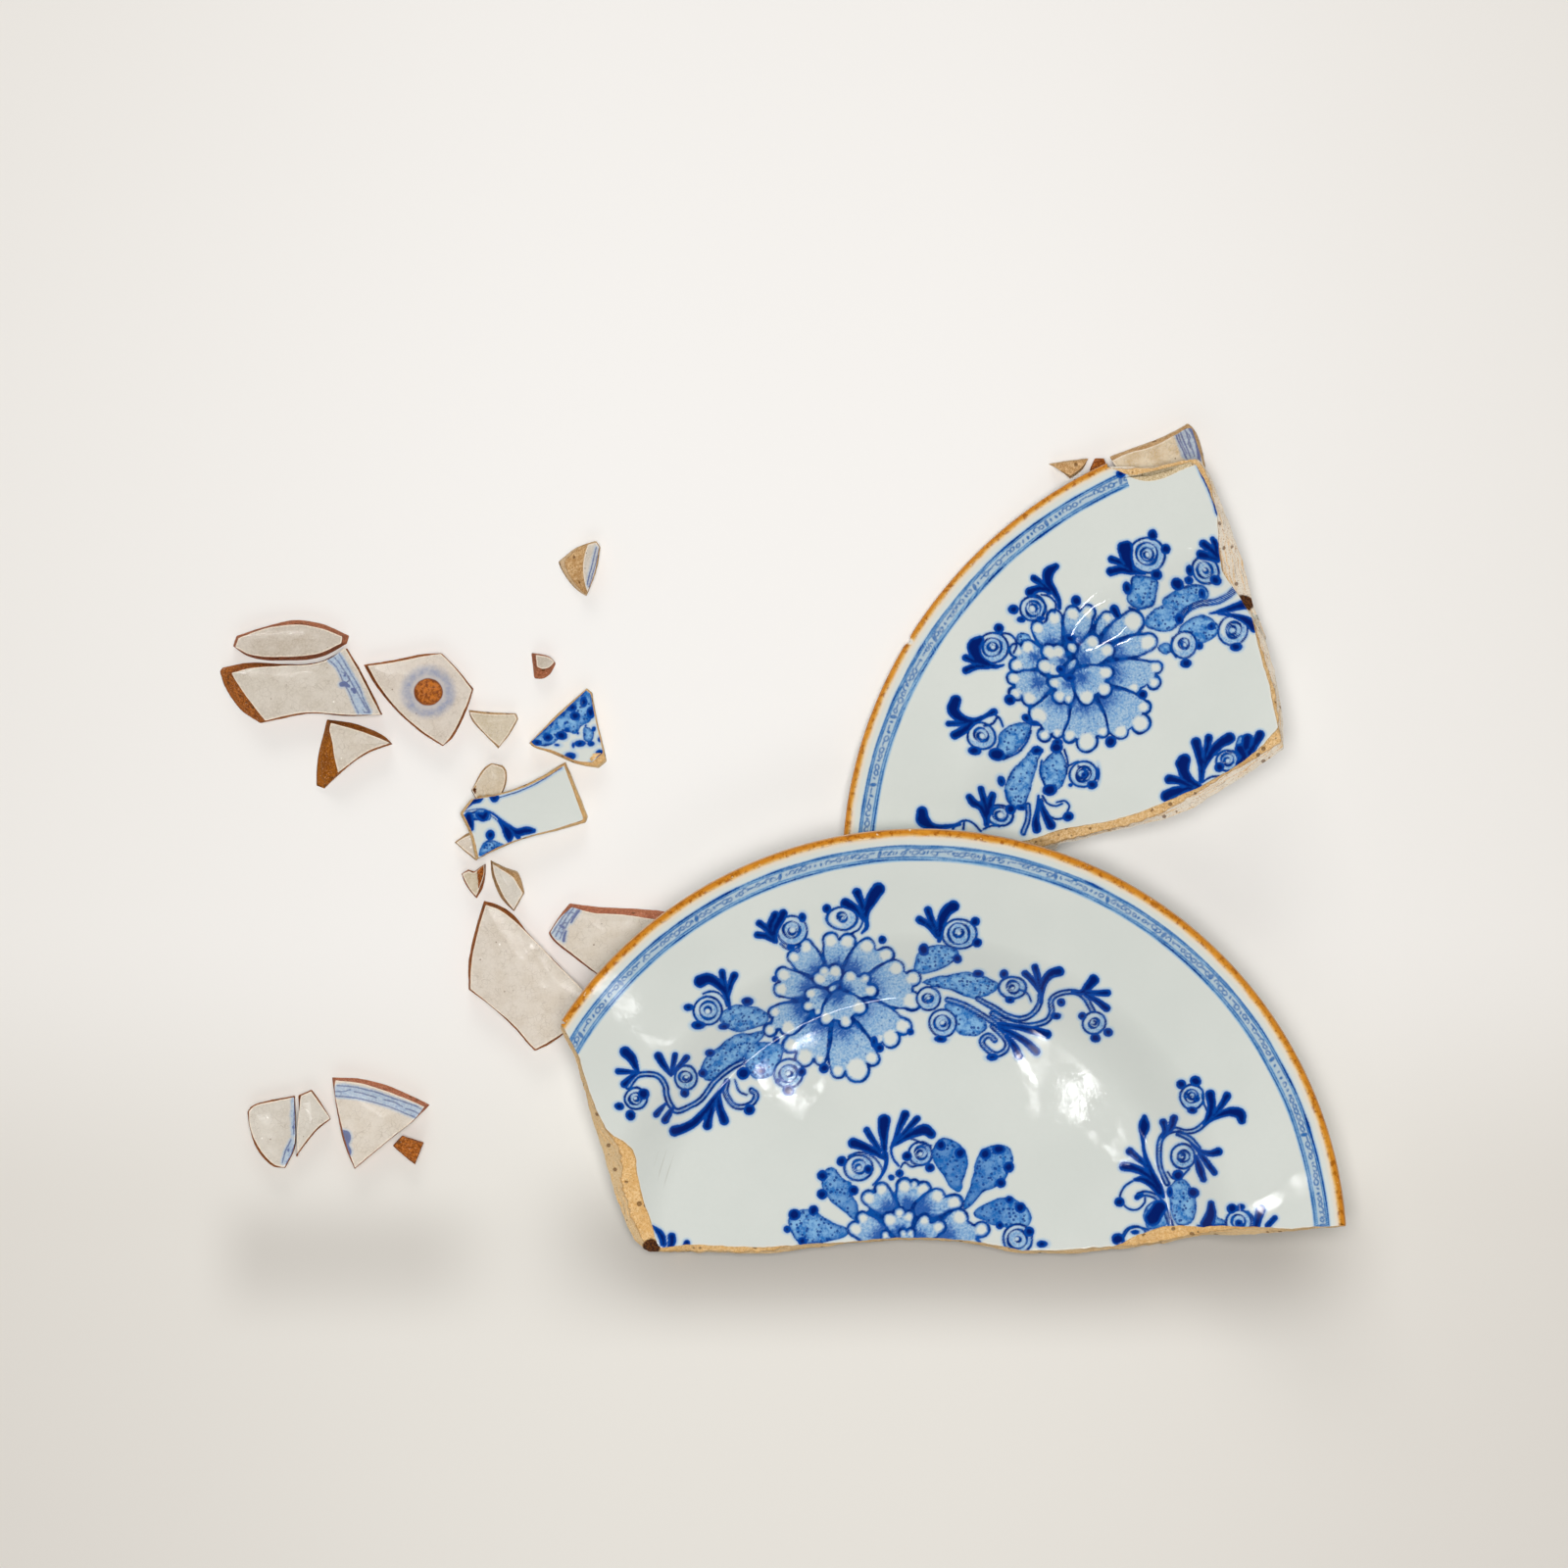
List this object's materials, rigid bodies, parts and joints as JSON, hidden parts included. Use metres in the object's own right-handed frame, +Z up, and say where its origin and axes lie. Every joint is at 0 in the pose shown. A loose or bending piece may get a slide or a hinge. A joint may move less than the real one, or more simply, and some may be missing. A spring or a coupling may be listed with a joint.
{
  "type": "broken plate in pieces",
  "caption": "Broken blue-and-white tin-glazed dish lying in pieces: a half, a leaning quarter and a scatter of small painted sherds.",
  "frame": {"origin": "centre of the footprint of the whole set, on the surface that the sherds lie on", "axes": "+Z up, away from that surface; +X along the longest side of the set, from the small sherds to the large ones; +Y from the half towards the quarter"},
  "size_m": [0.4631, 0.3431, 0.0382],
  "materials": {
    "white_glaze": "pale blue-white tin glaze, glossy, painted in cobalt blue, with an ochre rim",
    "cream_glaze": "cream glaze, soft gloss, crazed and speckled",
    "buff_body": "buff earthenware body, bare broken surface, matt and pitted",
    "red_body": "red-brown earthenware body, bare broken surface, matt and gritty"
  },
  "bodies": {
    "root": {"half_sherd": "white_glaze", "quarter_sherd": "white_glaze", "bridge_sherd": "white_glaze", "mottled_sherd": "white_glaze", "lower_prop": "white_glaze", "lens_sherd": "cream_glaze", "band_sherd": "cream_glaze", "hooked_sherd": "cream_glaze", "dotted_sherd": "cream_glaze", "kite_sherd": "cream_glaze", "split_chip": "cream_glaze", "shield_sherd": "cream_glaze", "banded_wing": "cream_glaze", "striped_sherd": "cream_glaze", "folded_sherd": "cream_glaze", "fan_sherd": "cream_glaze", "corner_sherd": "cream_glaze", "upper_prop": "buff_body", "notched_chip": "buff_body", "lined_chip": "buff_body", "tip_sherd": "buff_body", "pebble_chip": "red_body", "bare_chip": "red_body", "brick_chip": "red_body"}
  },
  "joints": []
}
